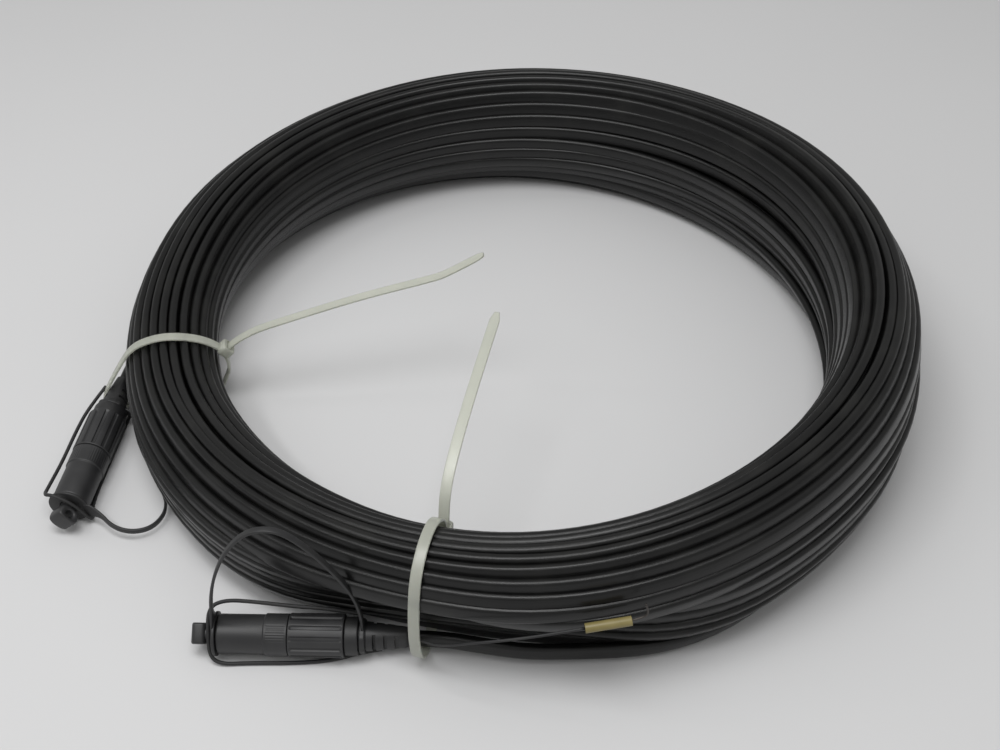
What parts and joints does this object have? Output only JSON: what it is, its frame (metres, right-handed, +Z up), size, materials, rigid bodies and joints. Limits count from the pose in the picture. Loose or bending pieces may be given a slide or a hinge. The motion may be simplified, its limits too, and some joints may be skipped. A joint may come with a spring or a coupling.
{
  "type": "fibre drop cable assembly",
  "caption": "Coil of flat black outdoor fibre drop cable held by nylon ties, with a hardened plug, screw-on dust cap, moulded strap and pull cord at each end",
  "frame": {"origin": "on the axis of the coil, at the surface that it lies on", "axes": "+Z up along the coil's axis; +X to the right and -Y to the front, as in the picture"},
  "size_m": [0.4136, 0.3904, 0.0883],
  "materials": {
    "cable_black": "satin black polyethylene jacket with a fine drawn grain",
    "plug_black": "fine moulded texture, satin black",
    "soft_black": "soft black elastomer, slightly shiny",
    "cord_black": "thin twisted black cord",
    "connector_grey": "smooth light grey moulding",
    "tie_natural": "translucent natural nylon",
    "sleeve_yellow": "pale yellow shrunk sleeve",
    "bare_wire": "dull copper"
  },
  "bodies": {
    "root": {"cable_coil": "cable_black", "plug_shroud_a": "plug_black", "inner_connector_a": "connector_grey", "boot_a": "soft_black", "pull_cord_a": "cord_black", "cable_end_a": "cable_black", "plug_shroud_b": "plug_black", "inner_connector_b": "connector_grey", "boot_b": "soft_black", "pull_cord_b": "cord_black", "cable_end_b": "cable_black", "cable_tie_a": "tie_natural", "cable_tie_b": "tie_natural", "tone_wire": "cable_black", "tone_wire_sleeve": "sleeve_yellow", "tone_wire_tip": "bare_wire"},
    "strap_a": {"cap_strap_a": "soft_black"},
    "cap_a": {"dust_cap_a": "plug_black"},
    "nut_a": {"coupling_nut_a": "plug_black"},
    "strap_b": {"cap_strap_b": "soft_black"},
    "cap_b": {"dust_cap_b": "plug_black"},
    "nut_b": {"coupling_nut_b": "plug_black"}
  },
  "joints": [
    {"name": "cap_turn_a", "type": "hinge", "parent": "strap_a", "child": "cap_a", "pos_m": [-0.12011, -0.16974, 0.0098], "axis": [-0.9998, 0.0218, 0], "range_deg": [0, 720]},
    {"name": "cap_travel_a", "type": "slide", "parent": "root", "child": "strap_a", "axis": [-0.9998, 0.0218, 0], "range_m": [0, 0.0086], "deforming": ["cap_strap_a", "pull_cord_a"]},
    {"name": "nut_turn_a", "type": "hinge", "parent": "root", "child": "nut_a", "pos_m": [-0.09011, -0.17039, 0.0098], "axis": [0.9998, -0.0218, 0], "continuous": true},
    {"name": "cap_turn_b", "type": "hinge", "parent": "strap_b", "child": "cap_b", "pos_m": [-0.208, -0.08912, 0.0098], "axis": [-0.1097, -0.994, 0], "range_deg": [0, 720]},
    {"name": "cap_travel_b", "type": "slide", "parent": "root", "child": "strap_b", "axis": [-0.1097, -0.994, 0], "range_m": [0, 0.0086], "deforming": ["cap_strap_b", "pull_cord_b"]},
    {"name": "nut_turn_b", "type": "hinge", "parent": "root", "child": "nut_b", "pos_m": [-0.20471, -0.0593, 0.0098], "axis": [0.1097, 0.994, 0], "continuous": true}
  ],
  "couplings": [
    {"joint": "cap_travel_a", "follows": "cap_turn_a", "m_per_rad": 0.00068437},
    {"joint": "cap_travel_b", "follows": "cap_turn_b", "m_per_rad": 0.00068437}
  ]
}
